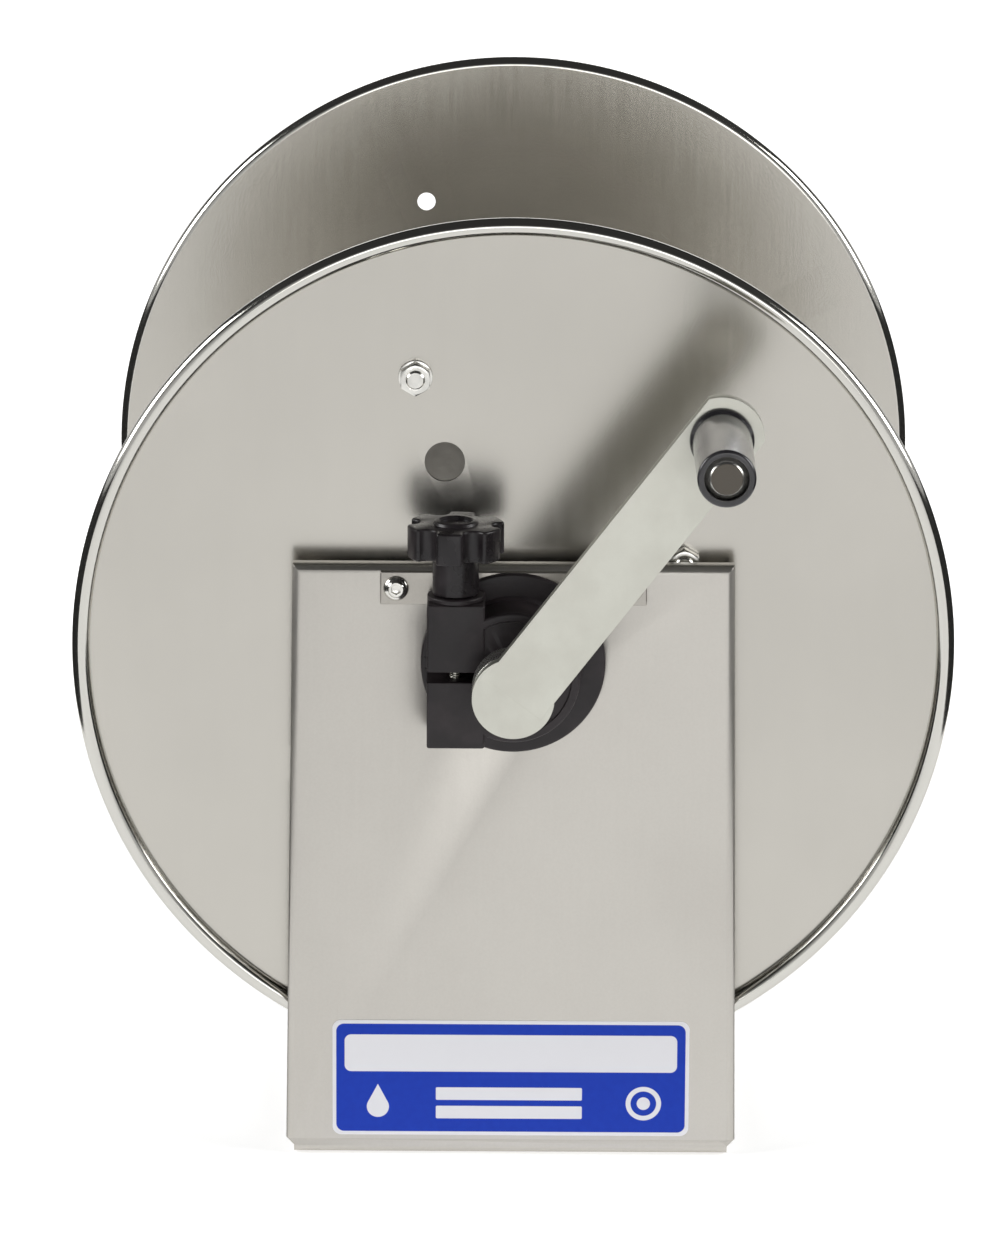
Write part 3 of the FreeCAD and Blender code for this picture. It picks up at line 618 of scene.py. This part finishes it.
nylon_finish = black_moulding("black_nylon", (0.013, 0.010, 0.011, 1.0), 0.38)
flange_radius = 0.041
flange_depth = 0.006
boss_radius = 0.0295
edge_round = 0.0012
fit_radius = bore_radius + 0.00005
low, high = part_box("brake_bearing")
clamp_y, spigot_y = low.y, high.y
panel_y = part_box("front_upright")[0].y
flange_y = panel_y - flange_depth
outline = [(fit_radius, clamp_y), (fit_radius + 0.003, clamp_y), (fit_radius + 0.0035, clamp_y + 0.0008)]
outline += [(boss_radius - 0.004, clamp_y + 0.0008), (boss_radius - 0.0035, clamp_y)]
outline += arc((boss_radius - edge_round, clamp_y + edge_round), edge_round, -90.0, 0.0, 4)
outline += [(boss_radius, flange_y - 0.0015), (boss_radius + 0.0015, flange_y)]
outline += arc((flange_radius - edge_round, flange_y + edge_round), edge_round, -90.0, 0.0, 4)
outline += [(flange_radius, panel_y), (spigot_radius, panel_y), (spigot_radius, spigot_y),
            (fit_radius, spigot_y), (fit_radius, clamp_y)]
clamp = spin_outline("brake_clamp_moulding", outline, (0.0, 0.0, axle_z), "Y", 128)
jaw_left, jaw_right = -0.038, -0.0125
jaw_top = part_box("brake_washer")[0].z
jaw_foot = axle_z - 0.0325
slit = 0.005
pocket_half = 0.06
pocket_depth = 0.0032
pocket_slack = 0.0002
stud_hole_radius = 0.00305
stud_nut_across = 0.010
jaws = block("jaws", (jaw_left, clamp_y, jaw_foot), (jaw_right, flange_y + 0.001, jaw_top))
with_modifier(jaws, "BEVEL", width=0.001, segments=3)
combine(clamp, jaws, "UNION")
combine(clamp, block("slit", (jaw_left - 0.005, clamp_y - 0.005, axle_z - slit / 2),
                     (0.0, flange_y, axle_z + slit / 2)))
strap_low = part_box("front_strap")[0]
combine(clamp, block("pocket", (-pocket_half, panel_y - pocket_depth, strap_low.z - pocket_slack),
                     (pocket_half, panel_y + 0.001, axle_z + 0.05)))
washer_low, washer_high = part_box("brake_washer")
brake_x = (washer_low.x + washer_high.x) / 2
brake_y = (washer_low.y + washer_high.y) / 2
combine(clamp, rod("stud_hole", stud_hole_radius, (brake_x, brake_y, axle_z), 0.09, "Z", 48))
combine(clamp, rod("nut_pocket", stud_nut_across / sqrt(3.0), (brake_x, brake_y, jaw_foot), 0.010, "Z", 6))
eased(clamp, 0.0003, 2, 45.0)
fitted(clamp, "frame", "black_moulding", nylon_finish, "brake_bearing")

low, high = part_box("rear_bearing")
panel_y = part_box("rear_upright")[1].y
flange_y = panel_y + flange_depth
outline = [(fit_radius, low.y), (spigot_radius, low.y), (spigot_radius, panel_y), (flange_radius, panel_y)]
outline += arc((flange_radius - edge_round, flange_y - edge_round), edge_round, 0.0, 90.0, 4)
outline += [(0.0235, flange_y), (0.022, flange_y + 0.0015), (0.022, high.y - 0.001),
            (0.021, high.y), (fit_radius, high.y), (fit_radius, low.y)]
bearing = spin_outline("rear_bearing_moulding", outline, (0.0, 0.0, axle_z), "Y", 128)
combine(bearing, block("pocket", (-pocket_half, panel_y - 0.001, strap_low.z - pocket_slack),
                       (pocket_half, panel_y + pocket_depth, axle_z + 0.05)))
eased(bearing, 0.0003, 2, 45.0)
fitted(bearing, "frame", "black_moulding", nylon_finish, "rear_bearing")


# Brake washer, knob and stud
# A plain black washer lies on the upper jaw. The knob has six lobes on a round
# stem, a raised crown with a dished centre, and a steel stud moulded into it.

thickness = washer_high.z - washer_low.z
washer_hole = 0.0031
washer_radius = (washer_high.x - washer_low.x) / 2
washer_middle = (brake_x, brake_y, (washer_low.z + washer_high.z) / 2)
outline = [(washer_hole, -thickness / 2), (washer_radius, -thickness / 2), (washer_radius, thickness / 2),
           (washer_hole, thickness / 2), (washer_hole, -thickness / 2)]
washer = spin_outline("brake_washer_moulded", outline, washer_middle, "Z", 96)
eased(washer, 0.0005, 3)
fitted(washer, "frame", "black_moulding", nylon_finish, "brake_washer")

knob_finish = black_moulding("black_knob", (0.011, 0.009, 0.010, 1.0), 0.26)
low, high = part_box("brake_knob")
knob_radius = (high.y - low.y) / 2
stem_radius = 0.0102
crown_height = 0.0015
lobe_depth = 0.0145
lobe_top = high.z - crown_height
lobe_foot = lobe_top - lobe_depth
lobes = 6
knob_turn = -8.0
notch_radius = 0.0046
notch_centre = 0.0206
corner_radius = 0.0016
corner_centre = knob_radius - corner_radius
corner_turn = degrees(acos((corner_centre ** 2 + notch_centre ** 2 - (notch_radius + corner_radius) ** 2)
                           / (2 * corner_centre * notch_centre)))
corner = Vector((corner_centre * cos(radians(corner_turn)), corner_centre * sin(radians(corner_turn))))
leaning = degrees(atan2(corner.y, corner.x - notch_centre))
pitch = 360.0 / lobes
far_corner = Matrix.Rotation(radians(pitch - 2 * corner_turn), 2) @ corner
lobe = arc((notch_centre, 0.0), notch_radius, 360.0 - leaning, leaning, 10)
lobe += arc(corner, corner_radius, leaning - 180.0, corner_turn, 6)[1:]
lobe += arc((0.0, 0.0), knob_radius, corner_turn, pitch - corner_turn, 8)[1:]
lobe += arc(far_corner, corner_radius, pitch - corner_turn, pitch + 180.0 - leaning, 6)[1:-1]
outline = []
for number in range(lobes):
    turn = Matrix.Rotation(radians((number + 0.5) * pitch - 90.0 + knob_turn), 2)
    outline += [turn @ Vector(point) for point in lobe]
points = [Vector((brake_x + point.x, brake_y + point.y, lobe_foot)) for point in outline]
knob = started("brake_knob_moulded", bpy.ops.mesh.primitive_plane_add, size=0.001, location=points[0])
bpy.ops.object.mode_set(mode="EDIT")
bpy.ops.mesh.select_mode(type="VERT")
bpy.ops.mesh.select_all(action="SELECT")
bpy.ops.mesh.merge(type="CENTER")
for here, there in zip(points, points[1:]):
    bpy.ops.mesh.extrude_vertices_move(TRANSFORM_OT_translate={"value": there - here})
bpy.ops.mesh.select_all(action="SELECT")
bpy.ops.mesh.edge_face_add()
bpy.ops.mesh.select_all(action="SELECT")
bpy.ops.mesh.extrude_region_move(TRANSFORM_OT_translate={"value": (0.0, 0.0, lobe_top - lobe_foot)})
bpy.ops.mesh.select_all(action="SELECT")
bpy.ops.mesh.normals_make_consistent(inside=False)
for level in (lobe_foot, lobe_top):
    select_edges(knob, lambda v: abs(v.z - level) < 1e-5)
    bpy.ops.mesh.bevel(offset=0.0010, segments=4, affect="EDGES", clamp_overlap=False)
top = lobe_top - low.z
outline = [(0.0, 0.0), (stem_radius - 0.0006, 0.0), (stem_radius, 0.0006),
           (stem_radius, lobe_foot - low.z),
           (stem_radius + 0.0015, lobe_foot - low.z + 0.001), (stem_radius + 0.0015, top - 0.002),
           (0.0100, top), (0.0095, top + 0.0011), (0.0088, top + crown_height), (0.0076, top + crown_height),
           (0.0070, top + 0.0009), (0.0068, top - 0.0012), (0.0, top - 0.0016)]
core = spin_outline("core", outline, (brake_x, brake_y, low.z), "Z", 96)
combine(knob, core, "UNION")
eased(knob, 0.0)
fitted(knob, "brake_knob", "black_moulding", knob_finish, "brake_knob")

low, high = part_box("brake_stud")
stud = threaded_end("brake_stud_thread", (high.x - low.x) / 2, (brake_x, brake_y, 0.0),
                    low.z, high.z - 0.02, "Z", 0.001)
fitted(stud, "brake_knob", "bright_fasteners", fastener_finish, "brake_stud")


# Crank: collar, lever, pin and nut
# A flat bar of 6 mm stainless with tumbled edges, welded to a turned collar that
# slides over the end of the axle. Its outer end is an arc round the grip, which
# turns on a shoulder pin with a chamfered head and a nut behind the bar.

low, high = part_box("crank_collar")
crank_radius = high.x
outline = [(bore_radius, low.y), (crank_radius - 0.0004, low.y), (crank_radius, low.y + 0.0004)]
outline += arc((crank_radius - 0.0015, high.y - 0.0015), 0.0015, 0.0, 90.0, 4)
outline += [(bore_radius + chamfer, high.y), (bore_radius, high.y - chamfer), (bore_radius, low.y)]
collar = spin_outline("crank_collar_turned", outline, (0.0, 0.0, axle_z), "Y", 128)
place = (0.0, (low.y + high.y) / 2, axle_z + crank_radius)
combine(collar, rod("hole", set_screw_radius, place, 0.014, "Z", 32))
eased(collar, 0.0)
fitted(collar, "reel", "turned_steel", turned_finish, "crank_collar")


def tumbled_steel():
    """Bright bar with a cloudy tumbled skin and a few faint long scratches."""
    material, place = new_finish("tumbled_steel")
    cloud = place.noise(45.0, 4.0).ramp(0.3, 0.7)
    fine = place.noise(1300.0, 2.0)
    scratches = place.noise(260.0, 4.0, (1.0, 1.0, 0.12)).ramp(0.60, 0.72)
    colour = (cloud * 0.8 + fine * 0.2).blend((0.52, 0.515, 0.46, 1.0), (0.60, 0.60, 0.54, 1.0))
    set_finish(material, Base_Color=colour, Metallic=1.0, Roughness=0.40 + cloud * 0.06 - scratches * 0.06,
               Normal=(fine * 0.5 + cloud * 0.5).bumps(0.2, 0.0002))
    return material


low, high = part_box("crank_lever")
pin_low, pin_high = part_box("grip_pin")
grip_x = (pin_low.x + pin_high.x) / 2
grip_z = (pin_low.z + pin_high.z) / 2
reach = sqrt(grip_x ** 2 + (grip_z - axle_z) ** 2)
lever_half = 0.01525
pin_nut_across = 0.017
end_radius = 0.0185
middle_y, lever_depth = (low.y + high.y) / 2, high.y - low.y
lever = block("crank_lever_bar", (0.0, low.y, -lever_half), (reach + end_radius, high.y, lever_half))
shape = rod("end_arc", end_radius, (reach, middle_y, 0.0), lever_depth * 2, "Y", 128)
combine(shape, block("bar_room", (-0.03, low.y - 0.003, -0.03), (reach, high.y + 0.003, 0.03)), "UNION")
combine(lever, shape, "INTERSECT")
combine(lever, rod("hub", crank_radius, (0.0, middle_y, 0.0), lever_depth, "Y", 128), "UNION")
eased(lever, 0.0009, 3)
lever.rotation_euler = (0.0, -Vector((grip_x, grip_z - axle_z)).angle(Vector((1.0, 0.0))), 0.0)
lever.location = (0.0, 0.0, axle_z)
bpy.ops.object.transform_apply(location=True, rotation=True, scale=True)
fitted(lever, "reel", "crank_steel", tumbled_steel(), "crank_lever")

head_radius = (pin_high.x - pin_low.x) / 2
shank_radius = 0.006
head_depth = 0.005
face_radius = 0.0069
chamfer_depth = 0.0026
length = pin_high.y - pin_low.y
outline = [(0.0, 0.0), (face_radius - 0.0003, 0.0), (face_radius, 0.0002),
           (head_radius - 0.0002, chamfer_depth), (head_radius, chamfer_depth + 0.0003),
           (head_radius, head_depth), (shank_radius, head_depth),
           (shank_radius, length - 0.011), (shank_radius - 0.0004, length - 0.0105),
           (shank_radius - 0.0004, length - 0.001), (shank_radius - 0.0012, length), (0.0, length)]
pin = spin_outline("grip_pin_turned", outline, (grip_x, pin_low.y, grip_z), "Y", 96)
eased(pin, 0.0, angle=30.0)
# The pin's flat end face is coloured dark grey, and its chamfer and shank bright steel.
material, place = new_finish("pin_dark_face")
x, y, z = place.axes()
away = ((x - grip_x) * (x - grip_x) + (z - grip_z) * (z - grip_z)).root()
front = 1.0 - y.ramp(pin_low.y + 0.0001, pin_low.y + 0.0003)
face = (1.0 - away.ramp(face_radius - 0.0002, face_radius)) * front
marks = place.noise(1800.0, 2.0)
set_finish(material, Metallic=1.0,
           Base_Color=face.blend((0.72, 0.71, 0.67, 1.0), (0.105, 0.095, 0.082, 1.0)),
           Roughness=0.20 + face * 0.22 + marks * 0.08, Normal=marks.bumps(0.15, 0.0001))
fitted(pin, "reel", "turned_steel", material, "grip_pin")
low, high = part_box("grip_nut")
nut = hexagon_nut("grip_nut_turned", pin_nut_across, high.y - low.y, shank_radius - 0.0004,
                  (grip_x, (low.y + high.y) / 2, grip_z), "Y")
fitted(nut, "reel", "bright_fasteners", fastener_finish, "grip_nut")


# Grip
# A glossy black sleeve that turns on the pin: a collar at the root, a slight taper,
# and a counterbore at the end where the head of the pin sits.

low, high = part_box("grip_sleeve")
root_radius = (high.x - low.x) / 2
length = high.y - low.y
sleeve_bore = shank_radius + 0.00005
counterbore = head_radius + 0.00005
outline = [(sleeve_bore, 0.0), (root_radius - 0.0008, 0.0), (root_radius, -0.0008), (root_radius, -0.0036),
           (root_radius - 0.0004, -0.0046), (root_radius - 0.0011, -0.0056),
           (0.0125, -length + 0.0022)]
outline += arc((0.0110, -length + 0.0015), 0.0015, 0.0, -90.0, 5)
outline += [(counterbore + 0.0003, -length), (counterbore, -length + 0.0004),
            (counterbore, -length + 0.0053), (sleeve_bore, -length + 0.0053), (sleeve_bore, 0.0)]
grip = spin_outline("grip_sleeve_moulded", outline, (grip_x, high.y, grip_z), "Y", 128)
eased(grip, 0.0, angle=36.0)
fitted(grip, "grip", "gloss_grip", black_moulding("gloss_black", (0.020, 0.019, 0.021, 1.0), 0.16, 0.6),
       "grip_sleeve")


# Inlet swivel
# A turned barrel that runs on the end of the axle, and an elbow joined to it whose
# mouth, drawn as a plain bore for a 1/2 inch thread, hangs down.

low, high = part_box("swivel_barrel")
barrel_radius, length = high.x, high.y - low.y
running_length = 0.026
chamber = 0.012
outline = [(fit_radius, 0.0), (barrel_radius - 0.0012, 0.0), (barrel_radius, 0.0012)]
for groove in (0.006, 0.010, 0.014):
    outline += [(barrel_radius, groove), (barrel_radius - 0.0006, groove + 0.0005),
                (barrel_radius - 0.0006, groove + 0.0015), (barrel_radius, groove + 0.0020)]
outline += [(barrel_radius, length - 0.0010), (barrel_radius - 0.0010, length), (chamber, length),
            (chamber, running_length), (fit_radius, running_length), (fit_radius, 0.0)]
barrel = spin_outline("swivel_barrel_turned", outline, (0.0, low.y, axle_z), "Y", 96)
eased(barrel, 0.0, angle=30.0)
fitted(barrel, "inlet_swivel", "turned_steel", turned_finish, "swivel_barrel")

low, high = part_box("swivel_elbow")
leg_radius = high.x
inlet_radius = 0.0103
inlet_depth = 0.018
way_radius = 0.007
barrel_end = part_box("swivel_barrel")[1].y
leg_y = high.y - leg_radius
mouth_z = low.z
outline = [(0.0, low.y), (chamber, low.y), (chamber, barrel_end), (leg_radius - 0.001, barrel_end),
           (leg_radius, barrel_end + 0.001)]
outline += arc((leg_radius - dome, high.y - dome), dome, 0.0, 90.0, 6) + [(0.0, high.y)]
elbow = spin_outline("swivel_elbow_cast", outline, (0.0, 0.0, axle_z), "Y", 96)
outline = [(0.0, mouth_z), (leg_radius - 0.0010, mouth_z), (leg_radius, mouth_z + 0.0010),
           (leg_radius, mouth_z + 0.016), (leg_radius - 0.0015, mouth_z + 0.0175),
           (leg_radius - 0.0015, axle_z), (0.0, axle_z)]
combine(elbow, spin_outline("leg", outline, (0.0, leg_y, 0.0), "Z", 96), "UNION")
combine(elbow, rod("mouth", inlet_radius, (0.0, leg_y, mouth_z + inlet_depth / 2), inlet_depth, "Z", 64))
combine(elbow, rod("way", way_radius, (0.0, leg_y, mouth_z + 0.021), 0.042, "Z", 64))
place = (0.0, (low.y + leg_y) / 2 - 0.001, axle_z)
combine(elbow, rod("way", way_radius, place, leg_y - low.y + 0.002, "Y", 64))
eased(elbow, 0.0, angle=36.0)
fitted(elbow, "inlet_swivel", "turned_steel", turned_finish, "swivel_elbow")


# Label
# A vinyl label at the foot of the front upright: a blue field in a white border,
# with a blank title bar, a drop, two blank fields and a ring. It has no lettering.

def label_print():
    """The label's print, drawn by distance from the middle of each shape."""
    material, place = new_finish("label_print")
    x, _, z = place.axes()

    def card(across, above, width, height, corner):
        """A mask of a card with rounded corners, placed from the middle of the label."""
        out = ((x - middle.x - across).size() - (width / 2 - corner)).at_least(0.0)
        up = ((z - middle.z - above).size() - (height / 2 - corner)).at_least(0.0)
        return 1.0 - (out * out + up * up).root().ramp(corner - 0.0001, corner + 0.0001)

    field = card(0.0, 0.0, label_width - 0.0034, label_height - 0.0034, 0.0036)
    title = card(0.0, 0.0117, 0.1500, 0.0175, 0.0030)
    blanks = card(-0.0008, -0.0075, 0.0660, 0.0060, 0.0006) + card(-0.0008, -0.0163, 0.0660, 0.0060, 0.0006)
    seal = card(0.0600, -0.0118, 0.0160, 0.0160, 0.0080) - card(0.0600, -0.0118, 0.0116, 0.0116, 0.0058)
    seal = seal + card(0.0600, -0.0118, 0.0060, 0.0060, 0.0030)
    drop_side = (x - middle.x + 0.0600).size() + (z - middle.z + 0.0135) * 0.52
    point = (1.0 - drop_side.ramp(0.00535, 0.00555)) * (z - middle.z).ramp(-0.0112, -0.0110)
    drop = (card(-0.0600, -0.0138, 0.0100, 0.0100, 0.0050) + point).at_most(1.0)
    white = title + blanks + seal + drop
    blue = field * (1.0 - white)
    mottle = place.noise(300.0, 2.0)
    ink = mottle.blend((0.004, 0.034, 0.40, 1.0), (0.006, 0.046, 0.47, 1.0))
    set_finish(material, Base_Color=blue.blend((0.80, 0.80, 0.83, 1.0), ink),
               Roughness=0.40 + mottle * 0.08, Specular_IOR_Level=0.2)
    return material


low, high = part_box("name_label")
middle = (low + high) / 2
label_width, label_height = high.x - low.x, high.z - low.z
label = block("name_label_vinyl", low, high)
select_edges(label, lambda v: False)
bpy.ops.object.mode_set(mode="OBJECT")
for edge in label.data.edges:
    first, second = (label.data.vertices[i].co for i in edge.vertices)
    edge.select = abs(first.x - second.x) < 1e-6 and abs(first.z - second.z) < 1e-6
bpy.ops.object.mode_set(mode="EDIT")
bpy.ops.mesh.bevel(offset=0.004, segments=8, affect="EDGES")
eased(label, 0.00008, 2)
fitted(label, "frame", "blue_label", label_print(), "name_label")


# Pieces left as they are
# Screws, nuts, seals and plates whose shape needs no more detail only take a finish.

rubber_finish = black_moulding("seal_rubber", (0.012, 0.012, 0.012, 1.0), 0.6)
plain = {
    fastener_finish: ("front_strap_nuts", "rear_strap_nuts", "brake_nut", "front_drum_bolts",
                      "rear_drum_bolts", "rim_bolt", "collar_set_screws", "crank_set_screw", "snap_ring"),
    drum_finish: ("front_hub_plate", "rear_hub_plate"),
    turned_finish: ("riser_pipe",),
    rubber_finish: ("swivel_seals",),
}
for finish, nodes in plain.items():
    for node in nodes:
        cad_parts[node].data.materials.clear()
        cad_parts[node].data.materials.append(finish)


# Floor, lights and camera
# A white sweep that glows by itself, painted light that is grey in front and full white
# behind, and is lit too by soft boxes on the left and right, one low in front and one
# behind. A dim room above and a black card at each side darken the rolled rims, and
# a faint lamp inside the drum lights what shows through the window.

floor = started("floor", bpy.ops.mesh.primitive_plane_add, size=60.0, location=(0.0, 10.0, -0.0005))
material, place = new_finish("white_floor")
_, back, _ = place.axes()
# Painted light: the floor glows by itself, a dimmer grey in front and full white behind, and the metal
# reflects it.
glow = back.ramp(-0.35, 0.9).blend((0.56, 0.56, 0.56, 1.0), (1.0, 1.0, 1.0, 1.0))
set_finish(material, Base_Color=(0.90, 0.90, 0.90, 1.0), Roughness=0.9,
           Emission_Color=glow, Emission_Strength=1.0)
floor.data.materials.append(material)

material, _ = new_finish("black_card")
set_finish(material, Base_Color=(0.01, 0.01, 0.01, 1.0), Roughness=0.9)
for side in (-1, 1):
    card = block("black_card", (side * 0.60 - 0.005, -0.75, 0.0), (side * 0.60 + 0.005, 0.95, 0.36))
    card.data.materials.append(material)
    card.visible_camera = card.visible_diffuse = card.visible_shadow = False


def soft_box(name, place, target, width, height, power):
    """A large rectangular light turned towards a point."""
    lamp = bpy.data.lights.new(name, "AREA")
    lamp.shape = "RECTANGLE"
    lamp.size, lamp.size_y, lamp.energy = width, height, power
    holder = bpy.data.objects.new(name, lamp)
    holder.location = place
    holder.rotation_euler = (Vector(place) - Vector(target)).to_track_quat("Z", "Y").to_euler()
    bpy.context.scene.collection.objects.link(holder)


reel_middle = (0.0, 0.0, axle_z)
soft_box("left_box", (-2.4, -0.5, 1.5), reel_middle, 1.5, 1.3, 40.0)
soft_box("right_box", (2.4, -0.5, 1.5), reel_middle, 1.5, 1.3, 40.0)
soft_box("front_box", (0.3, -3.6, 0.7), reel_middle, 2.2, 0.9, 12.0)
soft_box("rim_box", (0.0, 3.2, 1.35), reel_middle, 3.0, 0.7, 12.0)

lamp = bpy.data.lights.new("drum_lamp", "POINT")
lamp.energy, lamp.shadow_soft_size = 0.03, 0.02
holder = bpy.data.objects.new("drum_lamp", lamp)
holder.location = (-0.035, -0.05, axle_z - 0.075)
bpy.context.scene.collection.objects.link(holder)

world = bpy.data.worlds.new("studio")
bpy.context.scene.world = world
world.use_nodes = True
sky = world.node_tree.nodes["Background"]
direction = Shade(world.node_tree, world.node_tree.nodes.new("ShaderNodeTexCoord").outputs["Generated"])
_, _, upward = direction.axes()
tone = upward.ramp(0.05, 0.5).blend((0.60, 0.60, 0.60, 1.0), (0.04, 0.04, 0.04, 1.0))
world.node_tree.links.new(tone.socket, sky.inputs["Color"])

bpy.context.scene.view_settings.view_transform = "Standard"
camera = bpy.data.objects.new("camera", bpy.data.cameras.new("camera"))
bpy.context.scene.collection.objects.link(camera)
camera.data.sensor_fit = "VERTICAL"
camera.data.sensor_height = 36.0
camera.data.lens = 198.5
pitch, yaw, roll = radians(15.01), radians(0.04), radians(0.30)
turn = Matrix.Rotation(yaw, 3, "Z") @ Matrix.Rotation(pi / 2 - pitch, 3, "X")
turn = turn @ Matrix.Rotation(roll, 3, "Z")
camera.rotation_euler = turn.to_euler()
camera.location = (-0.0039, -3.1297, axle_z + 0.8016)
bpy.context.scene.camera = camera
